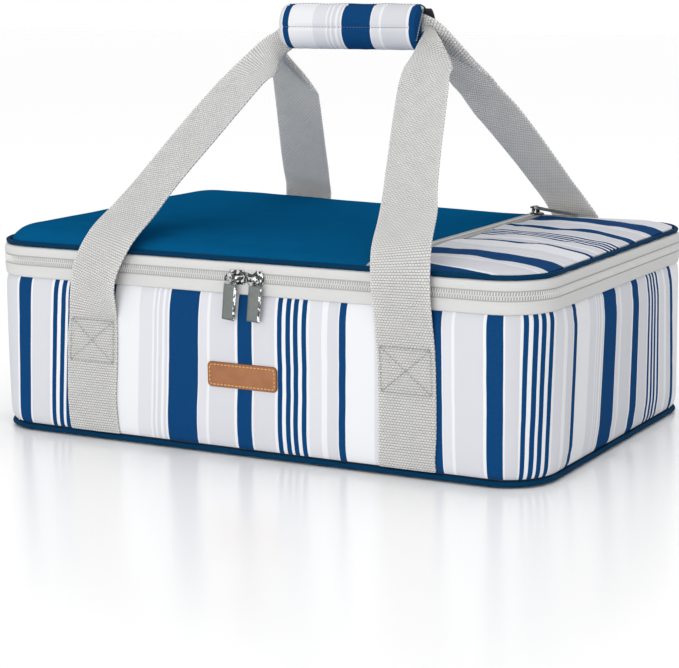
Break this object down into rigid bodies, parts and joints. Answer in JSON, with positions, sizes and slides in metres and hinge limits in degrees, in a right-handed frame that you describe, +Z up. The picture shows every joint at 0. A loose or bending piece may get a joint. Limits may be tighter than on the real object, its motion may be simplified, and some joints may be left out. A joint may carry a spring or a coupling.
{
  "type": "casserole carrier",
  "caption": "Soft-sided padded carrier for a baking dish, with a zipped lid that opens at the back, a zipped lid pocket and webbing handles joined by a wrapped grip.",
  "frame": {"origin": "middle of the flat foot, where the carrier stands", "axes": "+X to the right along the long side, +Y to the back, where the lid's fabric hinge is, +Z up"},
  "size_m": [0.4116, 0.2875, 0.286],
  "materials": {
    "striped_fabric": "printed polyester weave, navy, grey and white stripes",
    "navy_fabric": "plain polyester weave",
    "navy_piping": "fabric-covered cord",
    "grey_band": "light grey zip band",
    "zip_tape": "light grey zip tape and coil teeth",
    "webbing": "ribbed polypropylene webbing",
    "lining": "silvery wipe-clean lining",
    "foam": "closed-cell foam",
    "board": "stiff board",
    "closure_tape": "hook and loop tape",
    "leather": "tan leather, darker at the edge, stitched, bare",
    "metal": "bright zinc zip hardware"
  },
  "bodies": {
    "tub": {"bottom_panel": "navy_fabric", "bottom_piping": "navy_piping", "stiffener_board": "board", "tub_foam": "foam", "tub_liner": "lining", "wall_fabric": "striped_fabric", "lower_band": "grey_band", "rim_binding": "grey_band", "zip_lower": "zip_tape", "hinge_strip": "grey_band", "leather_label": "leather", "front_anchor_left": "webbing", "front_anchor_right": "webbing", "rear_anchor_left": "webbing", "rear_anchor_right": "webbing"},
    "lid": {"upper_band": "grey_band", "zip_upper": "zip_tape", "lid_piping": "navy_piping", "lid_foam": "foam", "lid_liner": "lining", "lid_backing": "navy_fabric", "lid_panel": "navy_fabric", "pocket_panel": "striped_fabric", "pocket_tape_left": "zip_tape", "pocket_tape_right": "zip_tape", "pocket_chain": "zip_tape"},
    "front_handle": {"front_strap": "webbing"},
    "rear_handle": {"rear_strap": "webbing", "grip_pad": "foam", "grip_cover": "striped_fabric", "loop_tape": "closure_tape"},
    "flap": {"grip_flap": "striped_fabric", "hook_tape": "closure_tape"},
    "slider_left": {"slider_left": "metal"},
    "slider_right": {"slider_right": "metal"},
    "pull_left": {"pull_left": "metal"},
    "pull_right": {"pull_right": "metal"},
    "pocket_slider": {"pocket_slider": "metal"},
    "pocket_pull": {"pocket_pull": "metal"}
  },
  "joints": [
    {"name": "lid_hinge", "type": "hinge", "parent": "tub", "child": "lid", "pos_m": [0, 0.1371, 0.1185], "axis": [-1, 0, 0], "range_deg": [0, 180], "deforming": ["hinge_strip"]},
    {"name": "front_handle_swing", "type": "hinge", "parent": "tub", "child": "front_handle", "pos_m": [0, -0.1371, 0.0841], "axis": [1, 0, 0], "range_deg": [0, 143], "deforming": ["front_strap"]},
    {"name": "rear_handle_swing", "type": "hinge", "parent": "tub", "child": "rear_handle", "pos_m": [0, 0.1371, 0.0841], "axis": [-1, 0, 0], "range_deg": [0, 140], "deforming": ["rear_strap"]},
    {"name": "grip_flap_hinge", "type": "hinge", "parent": "rear_handle", "child": "flap", "pos_m": [0, 0.00105, 0.28602], "axis": [-1, 0, 0], "range_deg": [0, 150]},
    {"name": "slider_left_slide", "type": "slide", "parent": "tub", "child": "slider_left", "axis": [-1, 0, 0], "range_m": [0, 0.162]},
    {"name": "slider_right_slide", "type": "slide", "parent": "tub", "child": "slider_right", "axis": [1, 0, 0], "range_m": [0, 0.152]},
    {"name": "pull_left_swing", "type": "hinge", "parent": "slider_left", "child": "pull_left", "pos_m": [-0.0043, -0.1417, 0.1185], "axis": [-1, 0, 0], "range_deg": [-8, 150]},
    {"name": "pull_right_swing", "type": "hinge", "parent": "slider_right", "child": "pull_right", "pos_m": [0.0143, -0.1417, 0.1185], "axis": [-1, 0, 0], "range_deg": [-8, 150]},
    {"name": "pocket_slider_slide", "type": "slide", "parent": "lid", "child": "pocket_slider", "axis": [0, -1, 0], "range_m": [0, 0.23]},
    {"name": "pocket_pull_swing", "type": "hinge", "parent": "pocket_slider", "child": "pocket_pull", "pos_m": [0.094, 0.1135, 0.1394], "axis": [0, -1, 0], "range_deg": [0, 160]}
  ],
  "couplings": [
    {"joint": "rear_handle_swing", "follows": "lid_hinge", "ratio": 0.7777}
  ]
}
